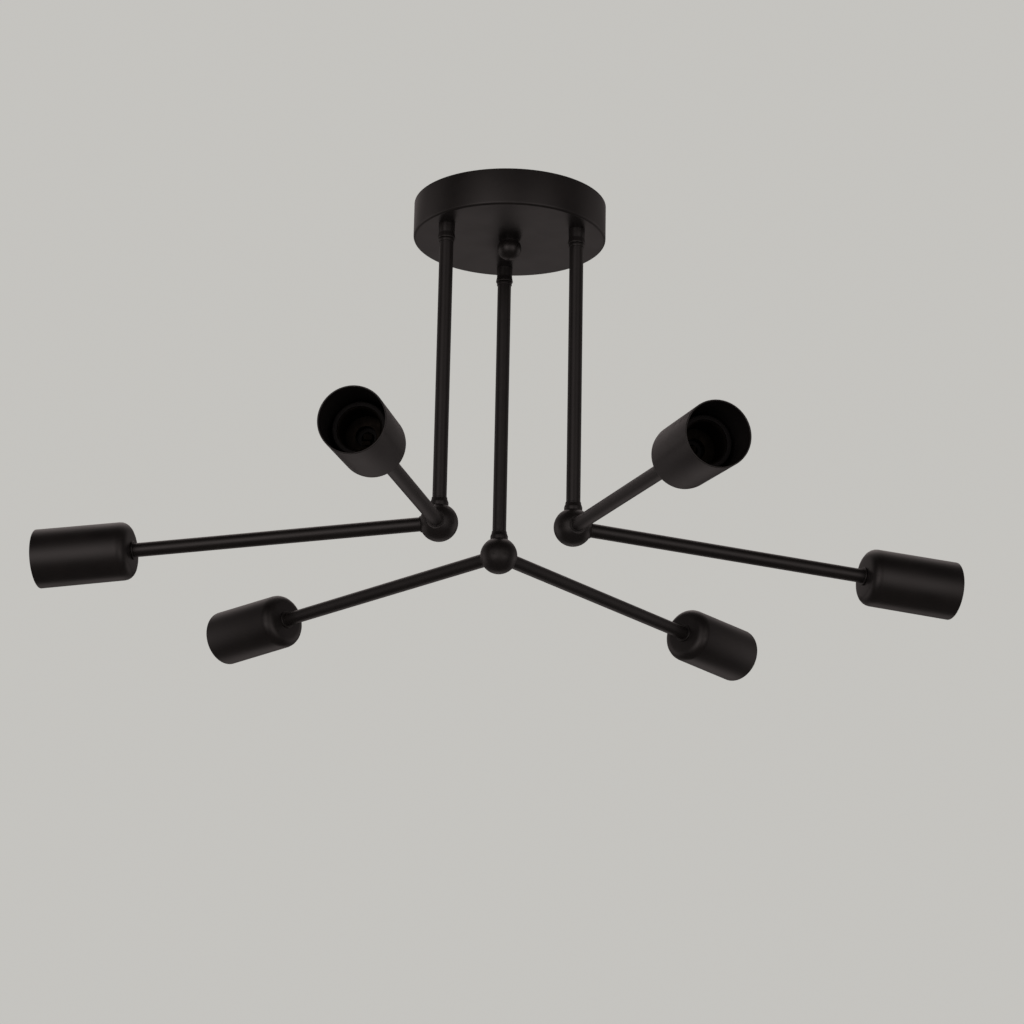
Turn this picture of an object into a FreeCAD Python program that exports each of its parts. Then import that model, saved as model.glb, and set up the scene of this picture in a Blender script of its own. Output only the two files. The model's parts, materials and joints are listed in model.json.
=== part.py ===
import FreeCAD, Part
import math
import os

# Six-light chandelier: a drum canopy, three stems that turn in it, and two arms with cups on each
# stem's ball. Millimetres and degrees. The ceiling is z = 0, the light hangs to -z, and -y is its front.

# Overall layout
canopy_diameter = 140.0
canopy_height = 27.0
stem_edge_inset = 16.0  # from the canopy's side to the circle that the three stems hang on
stem_drop = 223.0  # canopy underside to the middle of a ball
arm_reach = 219.5  # middle of a ball to the back of a cup
arm_droop = 3.9  # an arm's slope below level
arm_spread = 90.0  # between the two arms of a ball
stem_bearing_degrees = {"rear": 90.0, "left": 210.0, "right": 330.0}
cluster_turn_degrees = {"rear": 0.0, "left": 2.5, "right": -2.5}  # how each stem is turned as it hangs
arm_names = {"rear": ("right", "left"), "left": ("side", "front"), "right": ("front", "side")}
level_tilt = 90.0  # from straight up to level
full_turn = 360.0
nut_sides = 6

# Fits
seat_clearance = 0.05  # round pieces fixed in a hole, on the radius
running_clearance = 0.05  # a stem turning in its collar, on the radius
overrun = 1.0  # how far a cutter reaches past what it cuts

# Canopy shell
canopy_wall = 1.2
canopy_edge_round = 2.0
canopy_centre_hole_radius = 4.4

# Tube of the stems and arms, with the hexagon nuts on its threaded ends
tube_radius = 5.0
tube_wall = 1.0
nut_across_flats = 14.0
nut_height = 4.0

# Stem: washer and nut on the canopy floor
washer_radius = 9.0
washer_thickness = 1.0
stem_above_nut = 2.5

# Collar under the canopy, in which a stem turns, and the ring below it
collar_length = 11.5
collar_top_radius = 5.9
collar_waist_radius = 5.65
collar_flare_radius = 6.25
collar_flare_length = 3.4
collar_foot_length = 1.0
collar_edge_round = 0.6
spigot_radius = 5.8
spigot_shy = 0.2  # the spigot ends this far below the canopy floor
stem_ring_radius = 5.55
stem_ring_length = 2.4
ring_edge_round = 0.4

# Ball hub, drilled for the stem and two arms
ball_radius = 13.5
port_flat_radius = 6.4  # round flat that a collar or ring seats on
seat_depth = 6.6  # from the ball's middle to the shoulder that a tube stops on
wire_passage_radius = 3.9
neck_base_radius = 6.4
neck_top_radius = 5.5
neck_height = 6.2
neck_belly_height = 2.6
neck_belly_round = 2.0
neck_sleeve_length = 1.2
neck_sleeve_round = 1.0
arm_ring_radius = 5.75
arm_ring_thickness = 1.3
cup_ring_radius = 6.6

# Cup
cup_length = 69.0
cup_mouth_radius = 21.0
cup_back_radius = 20.6
cup_wall = 1.0
cup_back_round = 7.5
cup_lip_round = 0.45

# Lampholder inside each cup: screwed on the arm's end, with a screw shell and a centre contact
holder_length = 42.0
holder_radius = 17.5
holder_rim_round = 0.8
holder_boss_radius = 8.5
holder_boss_length = 5.0
holder_shoulder_length = 3.5
holder_thread_depth = 7.0  # how far the arm's end goes in
chamber_radius = 12.0
chamber_start = 9.5
chamber_end = 14.0
holder_floor_depth = 22.0  # from the holder's back to the floor of its socket
contact_well_depth = 5.0  # below that floor
shell_bore_radius = 13.3
shell_wall = 0.5
shell_below_rim = 1.0
shell_floor_hole_radius = 6.5
contact_thickness = 0.5
contact_width = 5.0
contact_base_length = 6.0
contact_rise = 4.0
contact_run = 4.5
contact_tip_length = 2.5
rivet_radius = 1.2

# Crossbar: a ceiling strap dropped in the middle, with a tongue for the terminals
strap_end_margin = 7.15  # beyond a slot's outer end
strap_width = 20.0
strap_thickness = 2.0
strap_drop = 8.0
joggle_gap = 2.55  # from a slot's inner end to the joggle
joggle_run = 6.0
strap_bend_radius = 1.5
strap_corner_round = 3.0
slot_spacing = 79.4
slot_length = 14.3
slot_width = 4.8
tongue_width = 20.0
tongue_reach = 38.0  # from the crossbar's middle to the tongue's end

# Stud and nuts that carry the canopy
stud_radius = 3.9
stud_above_strap = 3.0
stud_nut_across_flats = 13.0
stud_nut_height = 5.0
ball_nut_radius = 8.7
ball_nut_drop = 5.6  # canopy underside to the middle of the ball nut
ball_nut_neck_radius = 6.2
ball_nut_neck_length = 1.8
ball_nut_bore_depth = 10.0
stud_tip_gap = 1.0

# Earth screw on the crossbar
earth_offset = 16.0
earth_shank_radius = 1.95
earth_above_strap = 1.5
earth_washer_radius = 5.0
earth_washer_thickness = 1.0
earth_head_radius = 3.8
earth_head_height = 2.6
earth_head_round = 1.2
driver_slot_width = 0.9
driver_slot_depth = 1.1

# Terminal block under the tongue
block_poles = 3
pole_pitch = 8.6
pole_width = 7.4
block_depth = 17.0
block_height = 12.0
block_base_height = 5.0
block_end_gap = 1.5  # tongue's end to the block
wire_bore_radius = 1.9
wire_bore_share = 0.38  # of the block's height, from its top
clamp_screw_radius = 1.6
clamp_screw_length = 3.6
clamp_screw_spacing = 9.0
clamp_screw_recess = 1.0
peg_radius = 1.5
peg_spacing = 8.6

# Derived places
canopy_radius = canopy_diameter / 2
stem_circle_radius = canopy_radius - stem_edge_inset
canopy_underside = -canopy_height
canopy_floor = canopy_underside + canopy_wall
ball_middle_height = canopy_underside - stem_drop
port_flat_depth = math.sqrt(ball_radius**2 - port_flat_radius**2)
tube_seat_radius = tube_radius + seat_clearance
cup_floor = arm_reach + cup_wall
holder_back = cup_floor + nut_height
contact_floor = holder_back + holder_floor_depth - contact_well_depth
slot_outer_end = slot_spacing / 2 + slot_length / 2
slot_inner_end = slot_spacing / 2 - slot_length / 2
strap_top = -strap_drop
strap_underside = strap_top - strap_thickness
tongue_end = -tongue_reach

up = FreeCAD.Vector(0, 0, 1)
across = FreeCAD.Vector(0, 1, 0)


def closed_wire(corners):
    """Closed wire through (point, rounding) corners. A rounded corner is an arc tangent to both sides."""
    turns = []
    for index, (corner, rounding) in enumerate(corners):
        to_last = (corners[index - 1][0] - corner).normalize()
        to_next = (corners[(index + 1) % len(corners)][0] - corner).normalize()
        half_angle = to_last.getAngle(to_next) / 2
        inward = (to_last + to_next).normalize()
        reach = rounding / math.tan(half_angle)
        middle = corner + inward * (rounding / math.sin(half_angle) - rounding)
        turns.append((corner + to_last * reach, middle, corner + to_next * reach, rounding))
    edges = []
    for index, (start, middle, end, rounding) in enumerate(turns):
        if rounding:
            edges.append(Part.Arc(start, middle, end).toShape())
        following = turns[(index + 1) % len(turns)][0]
        edges.append(Part.LineSegment(end, following).toShape())
    return Part.Wire(edges)


def turned(outline, start=0.0):
    """Revolve a closed outline of (radius, height, rounding) about z, with its heights counted from start."""
    corners = [(FreeCAD.Vector(radius, 0, start + height), rounding) for radius, height, rounding in outline]
    return Part.Face(closed_wire(corners)).revolve(FreeCAD.Vector(), up, full_turn)


def prism(outline, direction):
    """Extrude a closed outline of (point, rounding) along a vector."""
    return Part.Face(closed_wire(outline)).extrude(direction)


def rod(radius, low, high, x=0.0, y=0.0):
    """Upright cylinder between two heights."""
    return Part.makeCylinder(radius, high - low, FreeCAD.Vector(x, y, low))


def ring(outer, inner, low, high, edge=0.0):
    """Ring about z with both outer edges rounded."""
    return turned([(inner, low, 0), (outer, low, edge), (outer, high, edge), (inner, high, 0)])


def hexagon_nut(across_flats, bore, low, height):
    corner_radius = across_flats / 2 / math.cos(math.pi / nut_sides)
    corners = []
    for index in range(nut_sides):
        angle = math.radians(full_turn / nut_sides * index)
        corners.append((FreeCAD.Vector(corner_radius * math.cos(angle), corner_radius * math.sin(angle), low), 0))
    return prism(corners, up * height).cut(rod(bore, low - overrun, low + height + overrun))


def placed(shape, placement):
    moved = shape.copy()
    moved.Placement = placement.multiply(moved.Placement)
    return moved


def moved_to(shape, place):
    return placed(shape, FreeCAD.Placement(place, FreeCAD.Rotation()))


def stem_axis(cluster):
    """Where a stem's axis meets the ceiling."""
    bearing = math.radians(stem_bearing_degrees[cluster])
    return FreeCAD.Vector(stem_circle_radius * math.cos(bearing), stem_circle_radius * math.sin(bearing), 0)


def arm_turn(cluster, side):
    """Rotation that takes +z to the way an arm points. Side is -1 for the first arm and 1 for the second."""
    bearing = stem_bearing_degrees[cluster] + cluster_turn_degrees[cluster] + side * arm_spread / 2
    return FreeCAD.Rotation(up, bearing).multiply(FreeCAD.Rotation(across, level_tilt + arm_droop))


def arm_placement(cluster, side):
    """Placement for a piece drawn along +z from the ball's middle."""
    return FreeCAD.Placement(stem_axis(cluster) + up * ball_middle_height, arm_turn(cluster, side))


def canopy():
    shell = turned([
        (canopy_radius, 0, 0),
        (canopy_radius, canopy_underside, canopy_edge_round),
        (canopy_centre_hole_radius, canopy_underside, 0),
        (canopy_centre_hole_radius, canopy_floor, 0),
        (canopy_radius - canopy_wall, canopy_floor, canopy_edge_round - canopy_wall),
        (canopy_radius - canopy_wall, 0, 0),
    ])
    for cluster in stem_bearing_degrees:
        place = stem_axis(cluster)
        hole_radius = spigot_radius + seat_clearance
        shell = shell.cut(rod(hole_radius, canopy_underside - overrun, canopy_floor + overrun, place.x, place.y))
    return shell


def collar():
    """Sleeve seated under the canopy by a spigot, waisted, with a flared foot."""
    bore = tube_radius + running_clearance
    foot_top = -collar_length + collar_foot_length
    return turned([
        (bore, canopy_wall - spigot_shy, 0),
        (spigot_radius, canopy_wall - spigot_shy, 0),
        (spigot_radius, 0, 0),
        (collar_top_radius, 0, 0),
        (collar_waist_radius, foot_top + collar_flare_length, collar_flare_length),
        (collar_flare_radius, foot_top, collar_edge_round),
        (collar_flare_radius, -collar_length, collar_edge_round),
        (bore, -collar_length, 0),
    ], canopy_underside)


def crossbar():
    """Strap with joggled ends flat on the ceiling, cut to its plan, with its slots and holes."""
    half_width = strap_width / 2
    half_length = slot_outer_end + strap_end_margin
    outer = slot_inner_end - joggle_gap
    inner = outer - joggle_run
    miter = strap_thickness * math.tan(math.atan2(strap_drop, joggle_run) / 2)
    outside_bend = strap_bend_radius + strap_thickness
    right_half = [
        (inner, strap_top, strap_bend_radius),
        (outer, 0, outside_bend),
        (half_length, 0, 0),
        (half_length, -strap_thickness, 0),
        (outer + miter, -strap_thickness, strap_bend_radius),
        (inner + miter, strap_underside, outside_bend),
    ]
    section = right_half + [(-x, z, rounding) for x, z, rounding in reversed(right_half)]
    bent = prism([(FreeCAD.Vector(x, tongue_end, z), rounding) for x, z, rounding in section],
                 across * (tongue_reach + half_width))
    half_tongue = tongue_width / 2
    right_plan = [
        (half_length, half_width, strap_corner_round),
        (half_length, -half_width, strap_corner_round),
        (half_tongue, -half_width, strap_corner_round),
        (half_tongue, tongue_end, strap_corner_round),
    ]
    plan = right_plan + [(-x, y, rounding) for x, y, rounding in reversed(right_plan)]
    blank = prism([(FreeCAD.Vector(x, y, strap_underside - overrun), rounding) for x, y, rounding in plan],
                  up * (strap_drop + strap_thickness + overrun + overrun))
    bar = bent.common(blank)
    low = strap_underside - overrun
    high = strap_top + overrun
    for side in (-1, 1):
        bar = bar.cut(ceiling_slot(side * slot_spacing / 2))
        bar = bar.cut(rod(peg_radius + seat_clearance, low, high, side * peg_spacing / 2, block_middle()))
    bar = bar.cut(rod(stud_radius + seat_clearance, low, high))
    return bar.cut(rod(earth_shank_radius + seat_clearance, low, high, earth_offset))


def ceiling_slot(middle):
    """Cutter for one slot: a straight part with round ends."""
    low = -strap_thickness - overrun
    straight = slot_length - slot_width
    corner = FreeCAD.Vector(middle - straight / 2, -slot_width / 2, low)
    cutter = Part.makeBox(straight, slot_width, overrun - low, corner)
    for side in (-1, 1):
        cutter = cutter.fuse(rod(slot_width / 2, low, overrun, middle + side * straight / 2))
    return cutter


def crossbar_stud():
    tip = canopy_underside - ball_nut_bore_depth + stud_tip_gap
    return rod(stud_radius, tip, strap_top + stud_above_strap)


def stud_lock_nut():
    bore = stud_radius + seat_clearance
    return hexagon_nut(stud_nut_across_flats, bore, strap_underside - stud_nut_height, stud_nut_height)


def ball_nut():
    """Ball with a short neck, flat against the canopy, with a blind bore for the stud."""
    middle = canopy_underside - ball_nut_drop
    ball = Part.makeSphere(ball_nut_radius, FreeCAD.Vector(0, 0, middle))
    neck_foot = canopy_underside - ball_nut_neck_length
    ball = ball.cut(rod(ball_nut_radius + overrun, neck_foot, canopy_underside + ball_nut_radius))
    neck = rod(ball_nut_neck_radius, middle, canopy_underside)
    bore = rod(stud_radius + seat_clearance, canopy_underside - ball_nut_bore_depth, canopy_underside + overrun)
    return ball.fuse(neck).removeSplitter().cut(bore)


def slotted_head(radius, rounding, low, high, x=0.0, y=0.0):
    """Screw head that faces down, with a driver slot."""
    head = turned([(0, low, 0), (radius, low, rounding), (radius, high, 0), (0, high, 0)])
    slot = Part.makeBox(driver_slot_width, radius * 2 + overrun, driver_slot_depth + overrun,
                        FreeCAD.Vector(-driver_slot_width / 2, -radius - overrun / 2, low - overrun))
    return moved_to(head.cut(slot), FreeCAD.Vector(x, y, 0))


def earth_screw():
    washer_low = strap_underside - earth_washer_thickness
    washer = ring(earth_washer_radius, earth_shank_radius + seat_clearance, washer_low, strap_underside)
    head = slotted_head(earth_head_radius, earth_head_round, washer_low - earth_head_height, washer_low)
    screw = head.fuse(rod(earth_shank_radius, washer_low, strap_top + earth_above_strap)).removeSplitter()
    return [moved_to(piece, FreeCAD.Vector(earth_offset, 0, 0)) for piece in (washer, screw)]


def block_middle():
    """Where the terminal block's middle lies along the tongue."""
    return tongue_end + block_end_gap + block_depth / 2


def pole_places():
    """Offset of each pole and of its two clamp screws from the block's middle."""
    first = -pole_pitch * (block_poles - 1) / 2
    for index in range(block_poles):
        for side in (-1, 1):
            yield first + index * pole_pitch, block_middle() + side * clamp_screw_spacing / 2


def terminal_block():
    """Moulded base with one tower for each pole, a wire bore through each, and two pegs in the tongue."""
    front = block_middle() - block_depth / 2
    low = strap_underside - block_height
    width = pole_pitch * (block_poles - 1) + pole_width
    block = Part.makeBox(width, block_depth, block_base_height,
                         FreeCAD.Vector(-width / 2, front, strap_underside - block_base_height))
    for x in sorted({place for place, depth in pole_places()}):
        block = block.fuse(Part.makeBox(pole_width, block_depth, block_height,
                                        FreeCAD.Vector(x - pole_width / 2, front, low)))
    for side in (-1, 1):
        block = block.fuse(rod(peg_radius, strap_underside, strap_top, side * peg_spacing / 2, block_middle()))
    block = block.removeSplitter()
    bore_height = strap_underside - block_height * wire_bore_share
    for x, y in pole_places():
        block = block.cut(Part.makeCylinder(wire_bore_radius, block_depth + overrun + overrun,
                                            FreeCAD.Vector(x, front - overrun, bore_height), across))
        block = block.cut(rod(clamp_screw_radius + seat_clearance, low - overrun, bore_height, x, y))
    return block


def terminal_screws():
    low = strap_underside - block_height + clamp_screw_recess
    return [slotted_head(clamp_screw_radius, 0, low, low + clamp_screw_length, x, y) for x, y in pole_places()]


def stem():
    """Tube from above its nut down to its shoulder in the ball."""
    top = canopy_floor + washer_thickness + nut_height + stem_above_nut
    foot = ball_middle_height + seat_depth
    return rod(tube_radius, foot, top).cut(rod(tube_radius - tube_wall, foot - overrun, top + overrun))


def stem_washer():
    return ring(washer_radius, tube_seat_radius, canopy_floor, canopy_floor + washer_thickness)


def stem_nut():
    return hexagon_nut(nut_across_flats, tube_seat_radius, canopy_floor + washer_thickness, nut_height)


def stem_ring():
    top = canopy_underside - collar_length
    return ring(stem_ring_radius, tube_seat_radius, top - stem_ring_length, top, ring_edge_round)


def neck_collar():
    """Bell-shaped collar round the stem, seated on the flat at the ball's top."""
    return turned([
        (tube_seat_radius, 0, 0),
        (neck_base_radius, 0, 0),
        (neck_base_radius, neck_belly_height, neck_belly_round),
        (neck_top_radius, neck_height - neck_sleeve_length, neck_sleeve_round),
        (neck_top_radius, neck_height, 0),
        (tube_seat_radius, neck_height, 0),
    ], ball_middle_height + port_flat_depth)


def ball(cluster):
    """Ball with three round flats, a seat for each tube and wire passages that meet in its middle."""
    hub = Part.makeSphere(ball_radius)
    ports = [FreeCAD.Rotation(), arm_turn(cluster, -1), arm_turn(cluster, 1)]
    beyond = ball_radius + overrun
    for turn in ports:
        outside = rod(beyond, port_flat_depth, beyond)
        seat = rod(tube_seat_radius, seat_depth, beyond)
        passage = rod(wire_passage_radius, 0, beyond)
        for cutter in (outside, seat, passage):
            hub = hub.cut(placed(cutter, FreeCAD.Placement(FreeCAD.Vector(), turn)))
    return moved_to(hub, up * ball_middle_height)


def arm():
    """Tube from its shoulder in the ball, through the cup's back and nut, into the lampholder."""
    end = holder_back + holder_thread_depth
    tube = rod(tube_radius, seat_depth, end)
    return tube.cut(rod(tube_radius - tube_wall, seat_depth - overrun, end + overrun))


def ball_port_ring():
    high = port_flat_depth + arm_ring_thickness
    return ring(arm_ring_radius, tube_seat_radius, port_flat_depth, high, ring_edge_round)


def cup_back_ring():
    return ring(cup_ring_radius, tube_seat_radius, arm_reach - arm_ring_thickness, arm_reach, ring_edge_round)


def cup():
    """Straight cup with a slight taper, a rounded back and a rounded lip."""
    return turned([
        (tube_seat_radius, 0, 0),
        (cup_back_radius, 0, cup_back_round),
        (cup_mouth_radius, cup_length, cup_lip_round),
        (cup_mouth_radius - cup_wall, cup_length, cup_lip_round),
        (cup_back_radius - cup_wall, cup_wall, cup_back_round - cup_wall),
        (tube_seat_radius, cup_wall, 0),
    ], arm_reach)


def cup_nut():
    return hexagon_nut(nut_across_flats, tube_seat_radius, cup_floor, nut_height)


def lampholder():
    """Insulating body: boss screwed on the arm, wiring chamber, contact well, and socket for the screw shell."""
    shoulder_end = holder_boss_length + holder_shoulder_length
    well_floor = holder_floor_depth - contact_well_depth
    socket_radius = shell_bore_radius + shell_wall + seat_clearance
    return turned([
        (tube_seat_radius, 0, 0),
        (holder_boss_radius, 0, 0),
        (holder_boss_radius, holder_boss_length, 0),
        (holder_radius, shoulder_end, holder_rim_round),
        (holder_radius, holder_length, holder_rim_round),
        (socket_radius, holder_length, 0),
        (socket_radius, holder_floor_depth, 0),
        (shell_floor_hole_radius, holder_floor_depth, 0),
        (shell_floor_hole_radius, well_floor, 0),
        (rivet_radius + seat_clearance, well_floor, 0),
        (rivet_radius + seat_clearance, chamber_end, 0),
        (chamber_radius, chamber_end, 0),
        (chamber_radius, chamber_start, 0),
        (tube_seat_radius, chamber_start, 0),
    ], holder_back)


def screw_shell():
    outer = shell_bore_radius + shell_wall
    high = holder_length - shell_below_rim
    return turned([
        (shell_floor_hole_radius, holder_floor_depth, 0),
        (outer, holder_floor_depth, 0),
        (outer, high, 0),
        (shell_bore_radius, high, 0),
        (shell_bore_radius, holder_floor_depth + shell_wall, 0),
        (shell_floor_hole_radius, holder_floor_depth + shell_wall, 0),
    ], holder_back)


def centre_contact():
    """Bent tongue in the contact well, held by its rivet."""
    slope = math.atan2(contact_rise, contact_run)
    miter = contact_thickness * math.tan(slope / 2)
    start = -contact_base_length / 2
    bend = contact_base_length / 2 - contact_run / 2
    top_bend = bend + contact_run
    tip = top_bend - contact_tip_length
    low = contact_floor
    high = low + contact_rise
    lower_side = [(start, low), (bend, low), (top_bend, high)]
    upper_side = [(top_bend - miter, high + contact_thickness), (tip, high + contact_thickness), (tip, high)]
    inner_top = top_bend - miter - contact_thickness / math.sin(slope)
    inner_side = [(inner_top, high), (bend - miter, low + contact_thickness)]
    outline = lower_side + upper_side + inner_side + [(start, low + contact_thickness)]
    corners = [(FreeCAD.Vector(x, -contact_width / 2, z), 0) for x, z in outline]
    tongue = prism(corners, across * contact_width)
    rivet = rod(rivet_radius, holder_back + chamber_end, low, start + contact_base_length / 2)
    return tongue.fuse(rivet).removeSplitter()


def write_node(name, pieces):
    """Write one node. Several pieces make a group of separate solids."""
    shape = pieces[0] if len(pieces) == 1 else Part.makeCompound(pieces)
    shape.exportStep(os.path.join("parts", name + ".step"))
    print(name, "solids", len(shape.Solids), "valid", shape.isValid(), "volume", round(shape.Volume))


def write_canopy_assembly():
    write_node("canopy", [canopy()])
    write_node("crossbar", [crossbar()])
    write_node("crossbar_stud", [crossbar_stud()])
    write_node("stud_lock_nut", [stud_lock_nut()])
    write_node("ball_nut", [ball_nut()])
    write_node("earth_screw", earth_screw())
    write_node("terminal_block", [terminal_block()])
    write_node("terminal_screws", terminal_screws())
    write_node("canopy_collars", [moved_to(collar(), stem_axis(cluster)) for cluster in stem_bearing_degrees])


def write_cluster(cluster):
    """One stem with its ball and two arms."""
    axis = stem_axis(cluster)
    stem_pieces = {
        "stem": stem(),
        "stem_washer": stem_washer(),
        "stem_nut": stem_nut(),
        "stem_ring": stem_ring(),
        "neck_collar": neck_collar(),
        "ball": ball(cluster),
    }
    for name, piece in stem_pieces.items():
        write_node(cluster + "_" + name, [moved_to(piece, axis)])
    arm_pieces = {"arm": arm(), "cup": cup(), "lampholder": lampholder(), "screw_shell": screw_shell()}
    placements = [arm_placement(cluster, side) for side in (-1, 1)]
    for arm_name, placement in zip(arm_names[cluster], placements):
        for name, piece in arm_pieces.items():
            write_node("_".join((cluster, arm_name, name)), [placed(piece, placement)])
    groups = {
        "arm_rings": [ball_port_ring(), cup_back_ring()],
        "cup_nuts": [cup_nut()],
        "contacts": [centre_contact()],
    }
    for name, pieces in groups.items():
        write_node(cluster + "_" + name, [placed(piece, spot) for spot in placements for piece in pieces])


os.makedirs("parts", exist_ok=True)
write_canopy_assembly()
for cluster in stem_bearing_degrees:
    write_cluster(cluster)
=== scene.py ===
"""Satin black six-light chandelier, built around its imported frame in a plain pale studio."""

from __future__ import annotations

import json
import logging
import math
from collections.abc import Callable, Iterator, Sequence
from contextlib import contextmanager
from dataclasses import dataclass, field
from enum import Enum

import bmesh
import bpy
from mathutils import Matrix, Vector

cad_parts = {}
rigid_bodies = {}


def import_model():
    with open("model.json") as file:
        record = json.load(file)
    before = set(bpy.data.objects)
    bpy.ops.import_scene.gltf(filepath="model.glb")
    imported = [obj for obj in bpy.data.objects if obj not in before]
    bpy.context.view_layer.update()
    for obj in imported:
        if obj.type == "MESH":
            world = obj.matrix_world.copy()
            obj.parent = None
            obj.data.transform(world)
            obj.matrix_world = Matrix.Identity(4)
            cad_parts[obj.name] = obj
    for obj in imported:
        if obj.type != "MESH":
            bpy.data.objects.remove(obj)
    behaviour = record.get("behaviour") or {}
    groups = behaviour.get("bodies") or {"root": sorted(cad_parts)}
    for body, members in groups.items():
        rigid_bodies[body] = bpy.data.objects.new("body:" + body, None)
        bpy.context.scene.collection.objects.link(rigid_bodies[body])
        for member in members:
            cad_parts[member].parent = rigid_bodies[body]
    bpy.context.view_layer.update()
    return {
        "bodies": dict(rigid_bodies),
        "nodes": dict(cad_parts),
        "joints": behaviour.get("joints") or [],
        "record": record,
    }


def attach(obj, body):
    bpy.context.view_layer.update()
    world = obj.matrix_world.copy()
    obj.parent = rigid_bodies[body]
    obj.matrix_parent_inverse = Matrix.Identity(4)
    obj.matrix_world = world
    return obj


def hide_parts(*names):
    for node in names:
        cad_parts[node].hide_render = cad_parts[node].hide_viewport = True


LOG = logging.getLogger("chandelier")
MM = 0.001
TOUCH = 0.02 * MM  # how near a vertex lies to the place it is picked by
WELD = 0.002 * MM  # vertices nearer than this become one
OVERRUN = 1.0  # how far a cutter reaches past what it cuts, in millimetres
TURN_STEPS = 96
WIDE_TURN_STEPS = 160
ROUND_STEPS = 6
CYLINDER_SIDES = 64
CREASE = math.radians(35.0)
NUT_FACE_SHARE = 0.97  # a nut's round face against its width over two flats
NUT_CHAMFER = math.radians(30.0)
THREAD_DEPTH = 0.54  # a rolled thread's depth against its pitch
THREAD_CREST = (0.44, 0.56)  # where its crest starts and ends within one pitch
THREAD_STEPS = 48

Corner = tuple[float, float, float]
Colour = tuple[float, float, float]
Socket = bpy.types.NodeSocket
Piece = bpy.types.Object


class Cluster(Enum):
    """The three stems, each with its ball and two arms."""

    LEFT = "left"
    RIGHT = "right"
    REAR = "rear"

    @property
    def body(self) -> str:
        """Name of the body that turns with this stem."""
        return f"{self.value}_arms"


class Slot(Enum):
    """The record's material slots."""

    PAINT = "satin_black_paint"
    STEEL = "zinc_plated_steel"
    BRASS = "brass_parts"
    WHITE = "white_moulding"
    BLACK = "black_moulding"


@dataclass(frozen=True)
class Arm:
    """One arm of a ball: its name, and which side of its stem's bearing it points to."""

    name: str
    side: int


@dataclass(frozen=True)
class Layout:
    """Places that all pieces share, in millimetres and degrees."""

    canopy_radius: float = 70.0
    canopy_underside: float = -27.0
    canopy_wall: float = 1.2
    stem_circle_radius: float = 54.0
    hanging_turn: float = 2.5  # of the left and right stems, as the lamp hangs
    ball_height: float = -250.0
    arm_reach: float = 219.5
    arm_droop: float = 3.9
    arm_spread: float = 90.0
    level_tilt: float = 90.0  # turn from +z to level
    tube_radius: float = 5.0
    tube_wall: float = 1.0
    seat_clearance: float = 0.05
    ball_radius: float = 13.5
    port_flat_radius: float = 6.4
    seat_depth: float = 6.6
    collar_length: float = 11.5

    @property
    def canopy_floor(self) -> float:
        """Height of the canopy's inner floor."""
        return self.canopy_underside + self.canopy_wall

    @property
    def port_flat_depth(self) -> float:
        """Distance of a ball's round flats from its middle."""
        return math.sqrt(self.ball_radius**2 - self.port_flat_radius**2)

    @property
    def tube_seat_radius(self) -> float:
        """Bore radius of what sits round a tube."""
        return self.tube_radius + self.seat_clearance

    def bearing(self, cluster: Cluster) -> float:
        """Bearing of a stem on its circle, in degrees."""
        return {Cluster.REAR: 90.0, Cluster.LEFT: 210.0, Cluster.RIGHT: 330.0}[cluster]

    def turn(self, cluster: Cluster) -> float:
        """How far a stem is turned as it hangs, in degrees."""
        return {Cluster.REAR: 0.0, Cluster.LEFT: self.hanging_turn,
                Cluster.RIGHT: -self.hanging_turn}[cluster]

    def arms(self, cluster: Cluster) -> tuple[Arm, Arm]:
        """The two arms of a cluster.

        Args:
            cluster: The cluster.

        Returns:
            The arms, by rising bearing.
        """
        names = {Cluster.REAR: ("right", "left"), Cluster.LEFT: ("side", "front"),
                 Cluster.RIGHT: ("front", "side")}
        return tuple(Arm(name, side) for name, side in zip(names[cluster], (-1, 1)))

    def stem_place(self, cluster: Cluster) -> Matrix:
        """Place of a stem's axis at the ceiling.

        Args:
            cluster: The stem.

        Returns:
            A move along the ceiling.
        """
        bearing = math.radians(self.bearing(cluster))
        outwards = Vector((math.cos(bearing), math.sin(bearing), 0))
        return Matrix.Translation(outwards * self.stem_circle_radius * MM)

    def arm_rotation(self, cluster: Cluster, arm: Arm) -> Matrix:
        """Rotation that takes +z to the way an arm points.

        Args:
            cluster: The arm's stem.
            arm: The arm.

        Returns:
            A four by four rotation.
        """
        bearing = self.bearing(cluster) + self.turn(cluster) + arm.side * self.arm_spread / 2
        tilt = Matrix.Rotation(math.radians(self.level_tilt + self.arm_droop), 4, "Y")
        return Matrix.Rotation(math.radians(bearing), 4, "Z") @ tilt

    def arm_place(self, cluster: Cluster, arm: Arm) -> Matrix:
        """Place of a piece drawn along +z from the ball's middle."""
        middle = Matrix.Translation(Vector((0, 0, self.ball_height * MM)))
        return self.stem_place(cluster) @ middle @ self.arm_rotation(cluster, arm)


LAYOUT = Layout()


# Workshop: small steps by operator that the sub-assemblies share


def select_only(*pieces: Piece) -> None:
    """Select these pieces alone, the first one active.

    Args:
        *pieces: The pieces.
    """
    bpy.ops.object.select_all(action="DESELECT")
    for piece in pieces:
        piece.select_set(True)
    bpy.context.view_layer.objects.active = pieces[0]


@contextmanager
def editing(piece: Piece) -> Iterator[None]:
    """Edit mode on one piece.

    Args:
        piece: The piece to edit.

    Yields:
        Nothing. The piece is in edit mode until the block ends.
    """
    select_only(piece)
    bpy.ops.object.mode_set(mode="EDIT")
    yield
    bpy.ops.object.mode_set(mode="OBJECT")


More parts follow.
